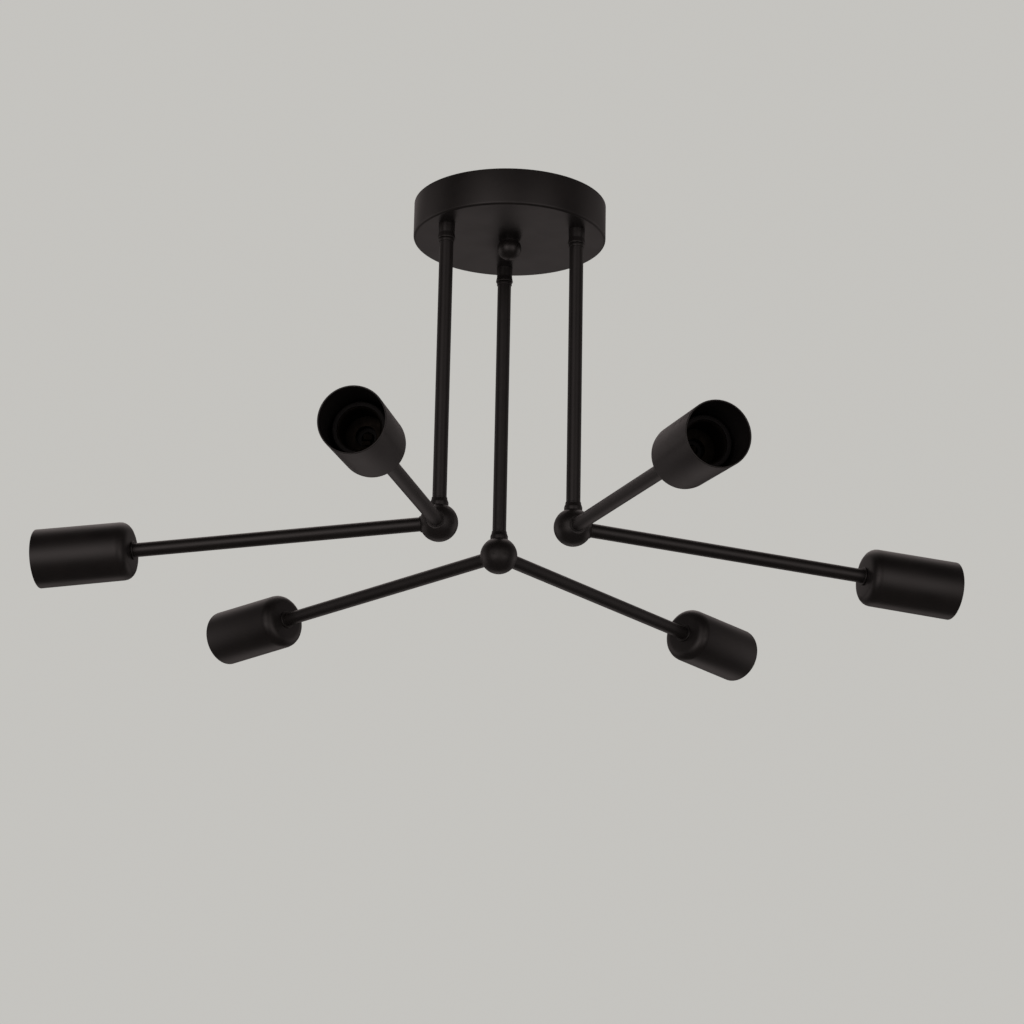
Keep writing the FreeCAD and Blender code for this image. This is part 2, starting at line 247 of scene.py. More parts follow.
def pick_points(piece: Piece, test: Callable[[Vector], bool]) -> None:
    """Select the vertices whose places pass a test, in edit mode.

    Args:
        piece: The piece in edit mode.
        test: Says of a place, in metres, whether it is meant.
    """
    bpy.ops.mesh.select_all(action="DESELECT")
    mesh = bmesh.from_edit_mesh(piece.data)
    for point in mesh.verts:
        if test(point.co):
            point.select_set(True)
    mesh.select_flush(True)
    bmesh.update_edit_mesh(piece.data)


def draw_line(places: Sequence[Vector]) -> Piece:
    """Draw a line of edges by extruding one vertex from place to place.

    Args:
        places: The line's points, in metres.

    Returns:
        The line, left in edit mode.
    """
    bpy.ops.object.select_all(action="DESELECT")
    bpy.ops.mesh.primitive_plane_add(size=MM)
    piece = bpy.context.active_object
    bpy.ops.object.mode_set(mode="EDIT")
    bpy.ops.mesh.select_all(action="SELECT")
    bpy.ops.mesh.merge(type="CENTER")
    bpy.ops.transform.translate(value=places[0])
    for place, target in zip(places, places[1:]):
        bpy.ops.mesh.extrude_region_move(TRANSFORM_OT_translate={"value": target - place})
    return piece


def draw_outline(corners: Sequence[Corner]) -> Piece:
    """Draw an outline in the xz plane and round its corners.

    Args:
        corners: Radius, height and rounding of each corner, in millimetres. An outline that starts
            and ends on the axis stays open there.

    Returns:
        The outline, left in edit mode.
    """
    places = [Vector((radius, 0, height)) * MM for radius, height, _ in corners]
    on_axis = corners[0][0] == 0 and corners[-1][0] == 0
    piece = draw_line(places if on_axis else [*places, places[0]])
    bpy.ops.mesh.select_all(action="SELECT")
    bpy.ops.mesh.remove_doubles(threshold=WELD)
    for index, (_, _, rounding) in enumerate(corners):
        if rounding:
            round_corner(piece, places, index, rounding * MM)
    return piece


def round_corner(piece: Piece, places: Sequence[Vector], index: int, rounding: float) -> None:
    """Bevel one corner of an outline so that it becomes an arc tangent to both of its sides.

    Args:
        piece: The outline in edit mode.
        places: The outline's corners, in metres.
        index: Which corner is rounded.
        rounding: Radius of the arc, in metres.
    """
    corner = places[index]
    to_last = places[index - 1] - corner
    to_next = places[(index + 1) % len(places)] - corner
    reach = rounding / math.tan(to_last.angle(to_next) / 2)
    pick_points(piece, lambda place: (place - corner).length < TOUCH)
    bpy.ops.mesh.bevel(offset=reach, segments=ROUND_STEPS, affect="VERTICES")


def weld_faces() -> None:
    """Weld the piece that is in edit mode and point its faces outwards."""
    bpy.ops.mesh.select_all(action="SELECT")
    bpy.ops.mesh.remove_doubles(threshold=WELD)
    bpy.ops.mesh.normals_make_consistent(inside=False)


def turned(corners: Sequence[Corner], steps: int = TURN_STEPS) -> Piece:
    """Spin an outline about z into a closed solid.

    Args:
        corners: Radius, height and rounding of each corner, in millimetres.
        steps: Number of steps round the axis.

    Returns:
        The turned piece, in object mode.
    """
    piece = draw_outline(corners)
    bpy.ops.mesh.select_all(action="SELECT")
    bpy.ops.mesh.spin(steps=steps, angle=math.tau, center=(0, 0, 0), axis=(0, 0, 1))
    weld_faces()
    bpy.ops.object.mode_set(mode="OBJECT")
    return piece


def ring(outer: float, inner: float, low: float, high: float, edge: float) -> Piece:
    """Turn a ring with both outer edges rounded, all in millimetres."""
    return turned([(inner, low, 0), (outer, low, edge), (outer, high, edge), (inner, high, 0)])


def sphere_arc(radius: float, middle: float, start: float, end: float, steps: int) -> list[Corner]:
    """Corners on a sphere's outline.

    Args:
        radius: Radius of the sphere, in millimetres.
        middle: Height of its middle, in millimetres.
        start: First latitude, in degrees.
        end: Last latitude, in degrees.
        steps: Number of runs between them.

    Returns:
        The corners from start to end.
    """
    latitudes = [math.radians(start + (end - start) * step / steps) for step in range(steps + 1)]
    return [(max(radius * math.cos(turn), 0), middle + radius * math.sin(turn), 0)
            for turn in latitudes]


def helix(profile: Sequence[tuple[float, float]], pitch: float, turns: int, steps: int) -> Piece:
    """Sweep one pitch of a thread's outline round z with a Screw modifier.

    Args:
        profile: Radius and height of the outline's points, in millimetres, over one pitch.
        pitch: Rise of one turn, in millimetres.
        turns: Number of turns.
        steps: Steps in one turn.

    Returns:
        The threaded surface, open at both ends.
    """
    piece = draw_line([Vector((radius, 0, height)) * MM for radius, height in profile])
    bpy.ops.object.mode_set(mode="OBJECT")
    apply_modifier(piece, "SCREW", axis="Z", angle=math.tau, screw_offset=pitch * MM,
                   iterations=turns, steps=steps, render_steps=steps, use_merge_vertices=True,
                   merge_threshold=WELD, use_normal_calculate=True)
    with editing(piece):
        weld_faces()
    return piece


def trim(piece: Piece, low: float, high: float, fill: bool) -> None:
    """Cut a piece off square at two heights.

    Args:
        piece: The piece.
        low: Lower height, in millimetres.
        high: Upper height, in millimetres.
        fill: Whether the cuts are closed.
    """
    with editing(piece):
        for height, side in ((low, -1), (high, 1)):
            bpy.ops.mesh.select_all(action="SELECT")
            bpy.ops.mesh.bisect(plane_co=(0, 0, height * MM), plane_no=(0, 0, side),
                                use_fill=fill, clear_outer=True)


def apply_modifier(piece: Piece, kind: str, **settings: object) -> None:
    """Add one modifier with its settings and apply it.

    Args:
        piece: The piece.
        kind: The modifier's type.
        **settings: Its settings by name.
    """
    select_only(piece)
    bpy.ops.object.modifier_add(type=kind)
    modifier = piece.modifiers[-1]
    for name, value in settings.items():
        setattr(modifier, name, value)
    bpy.ops.object.modifier_apply(modifier=modifier.name)


def combine(piece: Piece, tool: Piece, operation: str) -> None:
    """Cut or trim a piece with another, which is then thrown away.

    Args:
        piece: The piece that is kept.
        tool: The other one.
        operation: The Boolean modifier's operation.
    """
    apply_modifier(piece, "BOOLEAN", object=tool, operation=operation, solver="EXACT")
    bpy.data.objects.remove(tool, do_unlink=True)


def cylinder(radius: float, low: float, high: float, sides: int = CYLINDER_SIDES) -> Piece:
    """Add an upright cylinder on the axis as a cutter or blank.

    Args:
        radius: Its radius, in millimetres.
        low: Height of its lower face, in millimetres.
        high: Height of its upper face, in millimetres.
        sides: Number of its sides.

    Returns:
        The cylinder.
    """
    bpy.ops.object.select_all(action="DESELECT")
    bpy.ops.mesh.primitive_cylinder_add(vertices=sides, radius=radius * MM,
                                        depth=(high - low) * MM,
                                        location=(0, 0, (low + high) / 2 * MM))
    return settle(bpy.context.active_object)


def settle(piece: Piece, place: Matrix | None = None) -> Piece:
    """Put a piece's place into its mesh.

    Args:
        piece: The piece.
        place: Where it goes, or nothing to keep it where it is.

    Returns:
        The same piece, with its object at the origin.
    """
    if place is not None:
        piece.matrix_world = place
    select_only(piece)
    bpy.ops.object.transform_apply(location=True, rotation=True, scale=True)
    return piece


def copied(piece: Piece, place: Matrix) -> Piece:
    """Duplicate a piece with its own mesh and place the copy.

    Args:
        piece: The piece, drawn round the origin.
        place: Where the copy goes.

    Returns:
        The copy.
    """
    select_only(piece)
    bpy.ops.object.duplicate(linked=False)
    return settle(bpy.context.active_object, place)


def joined(pieces: Sequence[Piece]) -> Piece:
    """Join pieces into the first.

    Args:
        pieces: The pieces.

    Returns:
        The first piece, which now holds them all.
    """
    select_only(*pieces)
    bpy.ops.object.join()
    return pieces[0]


def discard(*pieces: Piece) -> None:
    """Throw away patterns that were only there to be copied."""
    for piece in pieces:
        bpy.data.objects.remove(piece, do_unlink=True)


def hexagon_nut(across_flats: float, bore: float, low: float, height: float) -> Piece:
    """Make a hexagon nut chamfered on both faces, all in millimetres.

    Args:
        across_flats: Width over two flats.
        bore: Radius of its hole.
        low: Height of its lower face.
        height: Its thickness.

    Returns:
        The nut.
    """
    sides = 6
    corner = across_flats / 2 / math.cos(math.pi / sides)
    nut = cylinder(corner, low, low + height, sides=sides)
    settle(nut, Matrix.Rotation(math.pi / sides, 4, "Z"))
    face = across_flats / 2 * NUT_FACE_SHARE
    chamfer = (corner - face) * math.tan(NUT_CHAMFER)
    blank = [(0, low, 0), (face, low, 0), (corner, low + chamfer, 0),
             (corner, low + height - chamfer, 0), (face, low + height, 0), (0, low + height, 0)]
    combine(nut, turned(blank), "INTERSECT")
    combine(nut, cylinder(bore, low - OVERRUN, low + height + OVERRUN), "DIFFERENCE")
    return nut


def threaded_rod(crest: float, pitch: float, low: float, high: float) -> Piece:
    """Make a solid rod with a rolled thread, all in millimetres.

    Args:
        crest: Radius at the thread's crest.
        pitch: Rise of one turn.
        low: Height of the rod's lower end.
        high: Height of its upper end.

    Returns:
        The rod.
    """
    root = crest - pitch * THREAD_DEPTH
    start, end = THREAD_CREST
    turns = math.ceil((high - low) / pitch) + 2  # one to trim at each end
    profile = [(root, 0), (crest, pitch * start), (crest, pitch * end), (root, pitch)]
    rod = helix(profile, pitch, turns, THREAD_STEPS)
    settle(rod, Matrix.Translation((0, 0, (low - pitch) * MM)))
    trim(rod, low, high, fill=True)
    return rod


# Finishes


class Graph:
    """Node tree that is filled node by node."""

    def __init__(self, tree: bpy.types.NodeTree) -> None:
        """Keep the tree."""
        self.tree = tree

    def add(self, kind: str, sockets: dict[str | int, object] | None = None,
            **settings: object) -> bpy.types.Node:
        """Add a node, set it and link what feeds it.

        Args:
            kind: The node's type.
            sockets: What goes into its inputs, each a value or another node's output.
            **settings: Its own settings.

        Returns:
            The node.
        """
        node = self.tree.nodes.new(kind)
        for name, value in settings.items():
            setattr(node, name, value)
        for name, value in (sockets or {}).items():
            if isinstance(value, Socket):
                self.tree.links.new(value, node.inputs[name])
            else:
                node.inputs[name].default_value = value
        return node

    def calculate(self, operation: str, *values: object, clamp: bool = False) -> Socket:
        """Add a Math node.

        Args:
            operation: What it does.
            *values: Its inputs in order, each a number or another node's output.
            clamp: Whether the result is kept between 0 and 1.

        Returns:
            Its result.
        """
        return self.add("ShaderNodeMath", dict(enumerate(values)), operation=operation,
                        use_clamp=clamp).outputs[0]

    def mix(self, data_type: str, factor: object, first: object, second: object,
            **settings: object) -> Socket:
        """Add a Mix node.

        Args:
            data_type: What it mixes, such as FLOAT or RGBA.
            factor: Share of the second value.
            first: The first value.
            second: The second value.
            **settings: Its other settings.

        Returns:
            Its result.
        """
        node = self.add("ShaderNodeMix", {"Factor": factor, "A": first, "B": second},
                        data_type=data_type, **settings)
        return node.outputs["Result"]


class EffectGroup:
    """Shader node group that several finishes use. It is built once."""

    name = "effect"
    inputs: tuple[tuple[str, str, object], ...] = ()
    output = "Mask"

    def group(self) -> bpy.types.NodeTree:
        """Build the group, or find it again.

        Returns:
            The group's node tree.
        """
        found = bpy.data.node_groups.get(self.name)
        if found:
            return found
        tree = bpy.data.node_groups.new(self.name, "ShaderNodeTree")
        for label, kind, value in self.inputs:
            socket = tree.interface.new_socket(name=label, in_out="INPUT", socket_type=kind)
            if value is not None:
                socket.default_value = value
        tree.interface.new_socket(name=self.output, in_out="OUTPUT", socket_type="NodeSocketFloat")
        graph = Graph(tree)
        entry = graph.add("NodeGroupInput")
        graph.add("NodeGroupOutput", {self.output: self.fill(graph, entry)})
        return tree

    def fill(self, graph: Graph, entry: bpy.types.Node) -> Socket:
        """Add the group's nodes and return what it puts out."""
        raise NotImplementedError

    def place(self, graph: Graph, **sockets: object) -> Socket:
        """Put the group into a material.

        Args:
            graph: The material's nodes.
            **sockets: The group's inputs by name.

        Returns:
            The group's output.
        """
        node = graph.add("ShaderNodeGroup", sockets, node_tree=self.group())
        return node.outputs[self.output]


class Mottle(EffectGroup):
    """Soft uneven patches, as in any sprayed or plated coat."""

    name = "coat_mottle"
    inputs = (("Vector", "NodeSocketVector", None), ("Scale", "NodeSocketFloat", 30.0),
              ("Spread", "NodeSocketFloat", 0.2))
    detail = 4.0
    roughness = 0.6
    middle = 0.5  # the noise's middle value

    def fill(self, graph: Graph, entry: bpy.types.Node) -> Socket:
        """Widen a noise's middle values to the whole range.

        Args:
            graph: The group's nodes.
            entry: The group's input node.

        Returns:
            The mask of the patches.
        """
        noise = graph.add("ShaderNodeTexNoise", {
            "Vector": entry.outputs["Vector"], "Scale": entry.outputs["Scale"],
            "Detail": self.detail, "Roughness": self.roughness})
        low = graph.calculate("SUBTRACT", self.middle, entry.outputs["Spread"])
        high = graph.calculate("ADD", self.middle, entry.outputs["Spread"])
        span = {"Value": noise.outputs[0], "From Min": low, "From Max": high}
        return graph.add("ShaderNodeMapRange", span, interpolation_type="SMOOTHSTEP").outputs[0]


class SprayGrain(EffectGroup):
    """Fine stipple of a cured coat: rounded grains with a softer wave under them."""

    name = "spray_grain"
    inputs = (("Vector", "NodeSocketVector", None), ("Scale", "NodeSocketFloat", 2500.0),
              ("Wave", "NodeSocketFloat", 0.5))
    output = "Height"
    wave_scale_share = 0.2  # the wave's scale against the cells'
    wave_detail = 2.0

    def fill(self, graph: Graph, entry: bpy.types.Node) -> Socket:
        """Mix cells with a wave of a lower scale.

        Args:
            graph: The group's nodes.
            entry: The group's input node.

        Returns:
            The height.
        """
        at, scale = entry.outputs["Vector"], entry.outputs["Scale"]
        grain = graph.add("ShaderNodeTexVoronoi", {"Vector": at, "Scale": scale},
                          feature="SMOOTH_F1")
        wave_scale = graph.calculate("MULTIPLY", scale, self.wave_scale_share)
        wave = graph.add("ShaderNodeTexNoise", {
            "Vector": at, "Scale": wave_scale, "Detail": self.wave_detail})
        return graph.mix("FLOAT", entry.outputs["Wave"], grain.outputs["Distance"],
                         wave.outputs[0])


class SettledDust(EffectGroup):
    """Thin dust on faces that look up, broken by a noise."""

    name = "settled_dust"
    inputs = (("Vector", "NodeSocketVector", None), ("Normal", "NodeSocketVector", None),
              ("Amount", "NodeSocketFloat", 0.2))
    steepest = 0.35  # upward part of the normal below which no dust lies
    noise_scale = 260.0
    noise_detail = 6.0
    noise_roughness = 0.7

    def fill(self, graph: Graph, entry: bpy.types.Node) -> Socket:
        """Multiply how far a face looks up by a noise and the amount.

        Args:
            graph: The group's nodes.
            entry: The group's input node.

        Returns:
            The mask of the dust.
        """
        normal = graph.add("ShaderNodeSeparateXYZ", {"Vector": entry.outputs["Normal"]})
        upward = graph.add("ShaderNodeMapRange", {
            "Value": normal.outputs["Z"], "From Min": self.steepest},
            interpolation_type="SMOOTHSTEP")
        noise = graph.add("ShaderNodeTexNoise", {
            "Vector": entry.outputs["Vector"], "Scale": self.noise_scale,
            "Detail": self.noise_detail, "Roughness": self.noise_roughness})
        broken = graph.calculate("MULTIPLY", upward.outputs[0], noise.outputs[0])
        return graph.calculate("MULTIPLY", broken, entry.outputs["Amount"], clamp=True)


@dataclass(frozen=True)
class Finish:
    """One surface finish: two colours in soft patches, a roughness that follows them, a relief."""

    name: str
    slot: Slot
    colour: Colour
    patch_colour: Colour
    smooth_roughness: float
    coarse_roughness: float
    metallic: float = 0.0
    patch_scale: float = 40.0
    patch_spread: float = 0.2
    grain_scale: float = 2500.0
    grain_wave: float = 0.5
    grain_depth: float = 0.01
    dust: float = 0.0
    dust_colour: Colour = (0.19, 0.18, 0.165)
    dust_roughness: float = 0.9
    specular: float = 0.5

    def material(self) -> bpy.types.Material:
        """Build the material, or find it again.

        Returns:
            The material.
        """
        found = bpy.data.materials.get(self.name)
        if found:
            return found
        material = bpy.data.materials.new(self.name)
        material.use_nodes = True
        material.node_tree.nodes.clear()
        self.fill(Graph(material.node_tree))
        return material

    def fill(self, graph: Graph) -> None:
        """Add the material's nodes.

        Args:
            graph: The material's nodes.
        """
        place = graph.add("ShaderNodeTexCoord")
        at = place.outputs["Object"]
        patches = Mottle().place(graph, Vector=at, Scale=self.patch_scale, Spread=self.patch_spread)
        grain = SprayGrain().place(graph, Vector=at, Scale=self.grain_scale, Wave=self.grain_wave)
        dust = SettledDust().place(graph, Vector=at, Normal=place.outputs["Normal"],
                                   Amount=self.dust)
        coat = graph.mix("RGBA", patches, (*self.colour, 1), (*self.patch_colour, 1))
        dusted = graph.mix("RGBA", dust, coat, (*self.dust_colour, 1))
        rough = graph.add("ShaderNodeMapRange", {
            "Value": patches, "To Min": self.smooth_roughness, "To Max": self.coarse_roughness})
        dull = graph.mix("FLOAT", dust, rough.outputs[0], self.dust_roughness)
        bump = graph.add("ShaderNodeBump", {
            "Strength": 1.0, "Distance": self.grain_depth * MM, "Height": grain})
        shader = graph.add("ShaderNodeBsdfPrincipled", {
            "Base Color": dusted, "Roughness": dull, "Metallic": self.metallic,
            "Specular IOR Level": self.specular, "Normal": bump.outputs["Normal"]})
        graph.add("ShaderNodeOutputMaterial", {"Surface": shader.outputs[0]})


SATIN_PAINT = Finish(
    "satin_black_coat", Slot.PAINT, (0.0158, 0.0147, 0.0144), (0.0203, 0.0188, 0.018),
    smooth_roughness=0.31, coarse_roughness=0.37, grain_scale=2200.0, grain_depth=0.01, dust=0.1)
ZINC_STEEL = Finish(
    "zinc_plate", Slot.STEEL, (0.56, 0.57, 0.58), (0.46, 0.46, 0.44),
    smooth_roughness=0.3, coarse_roughness=0.44, metallic=1.0, patch_scale=120.0,
    grain_scale=1800.0, grain_depth=0.006, dust=0.12)
BRASS = Finish(
    "lamp_brass", Slot.BRASS, (0.66, 0.46, 0.2), (0.5, 0.33, 0.13),
    smooth_roughness=0.26, coarse_roughness=0.42, metallic=1.0, patch_scale=160.0,
    grain_scale=1500.0, grain_depth=0.004)
BRASS_AS_PAINTED_SHADE = Finish(  # painted shade: brass made nearly black so that the shell stands in for the shade deep inside the cups
    "brass_as_painted_shade", Slot.BRASS, (0.02, 0.017, 0.014), (0.014, 0.012, 0.01),
    smooth_roughness=0.55, coarse_roughness=0.68, metallic=1.0, patch_scale=160.0,
    grain_scale=1500.0, grain_depth=0.004)
WHITE_MOULDING = Finish(
    "white_moulding_skin", Slot.WHITE, (0.78, 0.77, 0.72), (0.72, 0.7, 0.64),
    smooth_roughness=0.42, coarse_roughness=0.52, grain_scale=1600.0, grain_depth=0.008, dust=0.1)
BLACK_MOULDING = Finish(
    "black_moulding_skin", Slot.BLACK, (0.006, 0.0055, 0.0055), (0.009, 0.0085, 0.0085),
    smooth_roughness=0.55, coarse_roughness=0.68, specular=0.2, patch_scale=90.0,
    grain_scale=1400.0, grain_depth=0.01)
PALE_FLOOR = Finish(  # reflects less than it shows, to leave the object's underside dark
    "pale_floor", Slot.WHITE, (0.3, 0.295, 0.285), (0.3, 0.295, 0.285),
    smooth_roughness=0.8, coarse_roughness=0.9, patch_scale=2.0, grain_scale=200.0,
    grain_depth=0.1)


def hand_over(piece: Piece, name: str, body: str, finish: Finish, nodes: Sequence[str]) -> None:
    """Finish a new piece and put it in the place of its CAD nodes.

    Args:
        piece: The piece, in its place.
        name: Its name.
        body: The body that it rides on.
        finish: Its finish.
        nodes: The CAD nodes that it stands for.
    """
    piece.name = name
    piece.data.name = name
    select_only(piece)
    bpy.ops.object.shade_smooth_by_angle(angle=CREASE)
    piece.data.materials.clear()
    piece.data.materials.append(finish.material())
    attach(piece, body)
    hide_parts(*nodes)
    LOG.info("%s: %d faces, rides on %s", name, len(piece.data.polygons), body)


def dress_node(frame: dict, node: str, finish: Finish) -> None:
    """Give a carried-over CAD node its finish.

    Args:
        frame: The loaded frame.
        node: The node's name.
        finish: Its finish.
    """
    piece = frame["nodes"][node]
    piece.data.materials.clear()
    piece.data.materials.append(finish.material())
    LOG.info("%s: dressed in %s", node, finish.name)


# Sub-assemblies


@dataclass
class CanopyAssembly:
    """Canopy with its collars and ball nut, and the fixings inside it. Millimetres."""

    frame: dict
    body: str = "canopy_body"
    edge_round: float = 2.0
    rim_round: float = 0.25
    centre_hole_radius: float = 4.4
    centre_hole_round: float = 0.2
    stem_hole_radius: float = 5.85
    collar_spigot_radius: float = 5.8
    collar_spigot_length: float = 1.0
    collar_top_radius: float = 5.9
    collar_waist_radius: float = 5.65
    collar_flare_radius: float = 6.25
    collar_flare_length: float = 3.4
    collar_foot_length: float = 1.0
    collar_edge_round: float = 0.6
    collar_crown_round: float = 0.7
    ball_nut_radius: float = 8.7
    ball_nut_drop: float = 5.6
    ball_nut_neck_radius: float = 6.2
    ball_nut_neck_length: float = 1.8
    ball_nut_steps: int = 40
    stud_radius: float = 3.9
    stud_pitch: float = 1.25
    stud_top: float = -5.0
    strap_underside: float = -10.0
    lock_nut_height: float = 5.0
    lock_nut_across_flats: float = 13.0
    dressed: dict[str, Finish] = field(default_factory=lambda: {
        "crossbar": ZINC_STEEL, "terminal_screws": ZINC_STEEL, "earth_screw": BRASS,
        "terminal_block": WHITE_MOULDING})

    def build(self) -> None:
        """Make every piece of the canopy."""
        self.build_shell()
        self.build_collars()
        self.build_ball_nut()
        self.build_stud()
        self.dress()

    def build_shell(self) -> None:
        """Turn the drum and drill its stem holes."""
        outer, low, floor = LAYOUT.canopy_radius, LAYOUT.canopy_underside, LAYOUT.canopy_floor
        inner = outer - LAYOUT.canopy_wall
        shell = turned([
            (outer, 0, self.rim_round),
            (outer, low, self.edge_round),
            (self.centre_hole_radius, low, self.centre_hole_round),
            (self.centre_hole_radius, floor, 0),
            (inner, floor, self.edge_round - LAYOUT.canopy_wall),
            (inner, 0, self.rim_round),
        ], WIDE_TURN_STEPS)
        for cluster in Cluster:
            drill = cylinder(self.stem_hole_radius, low - OVERRUN, floor + OVERRUN)
            settle(drill, LAYOUT.stem_place(cluster))
            combine(shell, drill, "DIFFERENCE")
        hand_over(shell, "canopy_drum", self.body, SATIN_PAINT, ["canopy"])

    def build_collars(self) -> None:
        """Turn one waisted collar and copy it to the three stems."""
        top = LAYOUT.canopy_underside
        bore = LAYOUT.tube_seat_radius
        foot = top - LAYOUT.collar_length
        foot_top = foot + self.collar_foot_length
        flare = self.collar_flare_length
        pattern = turned([
            (bore, top + self.collar_spigot_length, 0),
            (self.collar_spigot_radius, top + self.collar_spigot_length, 0),
            (self.collar_spigot_radius, top, 0),
            (self.collar_top_radius, top, self.collar_crown_round),
            (self.collar_waist_radius, foot_top + flare, flare),
            (self.collar_flare_radius, foot_top, self.collar_edge_round),
            (self.collar_flare_radius, foot, self.collar_edge_round),
            (bore, foot, 0),
        ])
        copies = [copied(pattern, LAYOUT.stem_place(cluster)) for cluster in Cluster]
        discard(pattern)
        hand_over(joined(copies), "swivel_collars", self.body, SATIN_PAINT, ["canopy_collars"])

    def build_ball_nut(self) -> None:
        """Turn the ball nut under the canopy's middle."""
        top = LAYOUT.canopy_underside
        middle = top - self.ball_nut_drop
        rise = self.ball_nut_drop - self.ball_nut_neck_length
        cut = math.degrees(math.asin(rise / self.ball_nut_radius))
        outline = sphere_arc(self.ball_nut_radius, middle, start=-90, end=cut,
                             steps=self.ball_nut_steps)
        neck = [(self.ball_nut_neck_radius, top - self.ball_nut_neck_length, 0),
                (self.ball_nut_neck_radius, top, 0), (0, top, 0)]
        hand_over(turned(outline + neck), "ball_nut_knob", self.body, SATIN_PAINT, ["ball_nut"])

    def build_stud(self) -> None:
        """Make the threaded stud and its hexagon lock nut."""
        low = LAYOUT.canopy_underside
        stud = threaded_rod(self.stud_radius, self.stud_pitch, low, self.stud_top)
        hand_over(stud, "hanger_stud", self.body, ZINC_STEEL, ["crossbar_stud"])
        nut = hexagon_nut(self.lock_nut_across_flats, self.stud_radius,
                          self.strap_underside - self.lock_nut_height, self.lock_nut_height)
        hand_over(nut, "hanger_lock_nut", self.body, ZINC_STEEL, ["stud_lock_nut"])

    def dress(self) -> None:
        """Give the carried-over pieces their finishes."""
        for node, finish in self.dressed.items():
            dress_node(self.frame, node, finish)


@dataclass
class StemAssembly:
    """One stem with its fixings, ring, neck collar and ball. Millimetres."""

    frame: dict
    cluster: Cluster
    washer_thickness: float = 1.0
    nut_across_flats: float = 14.0
    nut_height: float = 4.0
    above_nut: float = 2.5
    thread_pitch: float = 1.0
    ring_radius: float = 5.55
    ring_length: float = 2.4
    ring_edge_round: float = 0.4
    running_gap: float = 0.05  # between the ring, which turns, and the collar, which doesn't
    neck_base_radius: float = 6.4
    neck_top_radius: float = 5.5
    neck_height: float = 6.2
    neck_edge_round: float = 0.25
    neck_belly_height: float = 2.6
    neck_belly_round: float = 2.0
    neck_sleeve_length: float = 1.2
    neck_sleeve_round: float = 1.0
    ball_segments: int = 128

    @property
    def place(self) -> Matrix:
        """Place of the stem's axis."""
        return LAYOUT.stem_place(self.cluster)

    def name(self, piece: str) -> str:
        """Name of a piece of this stem."""
        return f"{self.cluster.value}_{piece}"

    def finish_piece(self, piece: Piece, name: str, finish: Finish, node: str) -> None:
        """Place a piece drawn on the axis and hand it over."""
        settle(piece, self.place)
        hand_over(piece, self.name(name), self.cluster.body, finish, [self.name(node)])

    def build(self) -> None:
        """Make every piece of the stem."""
        self.build_tube()
        self.build_top_fixings()
        self.build_collars()
        self.build_ball()

    def build_tube(self) -> None:
        """Turn the tube and thread its top end."""
        radius, inner = LAYOUT.tube_radius, LAYOUT.tube_radius - LAYOUT.tube_wall
        foot = LAYOUT.ball_height + LAYOUT.seat_depth
        nut_top = LAYOUT.canopy_floor + self.washer_thickness + self.nut_height
        tube = turned([(inner, foot, 0), (radius, foot, 0),
                       (radius, nut_top, 0), (inner, nut_top, 0)])
        top = nut_top + self.above_nut
        thread = threaded_rod(radius, self.thread_pitch, nut_top, top)
        combine(thread, cylinder(inner, nut_top - OVERRUN, top + OVERRUN), "DIFFERENCE")
        self.finish_piece(joined([tube, thread]), "stem_tube", SATIN_PAINT, "stem")

    def build_top_fixings(self) -> None:
        """Make the hexagon nut and dress the washer under it."""
        low = LAYOUT.canopy_floor + self.washer_thickness
        nut = hexagon_nut(self.nut_across_flats, LAYOUT.tube_seat_radius, low, self.nut_height)
        self.finish_piece(nut, "stem_lock_nut", ZINC_STEEL, "stem_nut")
        dress_node(self.frame, self.name("stem_washer"), ZINC_STEEL)

    def build_collars(self) -> None:
        """Turn the ring under the canopy's collar and the bell above the ball."""
        bore = LAYOUT.tube_seat_radius
        top = LAYOUT.canopy_underside - LAYOUT.collar_length - self.running_gap
        band = ring(self.ring_radius, bore, top - self.ring_length, top, self.ring_edge_round)
        self.finish_piece(band, "swivel_ring", SATIN_PAINT, "stem_ring")
        low = LAYOUT.ball_height + LAYOUT.port_flat_depth
        high = low + self.neck_height
        bell = turned([
            (bore, low, 0),
            (self.neck_base_radius, low, self.neck_edge_round),
            (self.neck_base_radius, low + self.neck_belly_height, self.neck_belly_round),
            (self.neck_top_radius, high - self.neck_sleeve_length, self.neck_sleeve_round),
            (self.neck_top_radius, high, self.neck_edge_round),
            (bore, high, 0),
        ])
        self.finish_piece(bell, "neck_bell", SATIN_PAINT, "neck_collar")

    def build_ball(self) -> None:
        """Cut the three round flats and tube seats into a sphere."""
        bpy.ops.object.select_all(action="DESELECT")
        bpy.ops.mesh.primitive_uv_sphere_add(segments=self.ball_segments,
                                             ring_count=self.ball_segments // 2,
                                             radius=LAYOUT.ball_radius * MM)
        ball = bpy.context.active_object
        beyond = LAYOUT.ball_radius + OVERRUN
        port = turned([
            (0, LAYOUT.seat_depth, 0),
            (LAYOUT.tube_seat_radius, LAYOUT.seat_depth, 0),
            (LAYOUT.tube_seat_radius, LAYOUT.port_flat_depth, 0),
            (beyond, LAYOUT.port_flat_depth, 0),
            (beyond, beyond, 0),
            (0, beyond, 0),
        ])
        turns = [LAYOUT.arm_rotation(self.cluster, arm) for arm in LAYOUT.arms(self.cluster)]
        for turn in [Matrix.Identity(4)] + turns:
            combine(ball, copied(port, turn), "DIFFERENCE")
        discard(port)
        settle(ball, Matrix.Translation((0, 0, LAYOUT.ball_height * MM)))
        self.finish_piece(ball, "hub_ball", SATIN_PAINT, "ball")


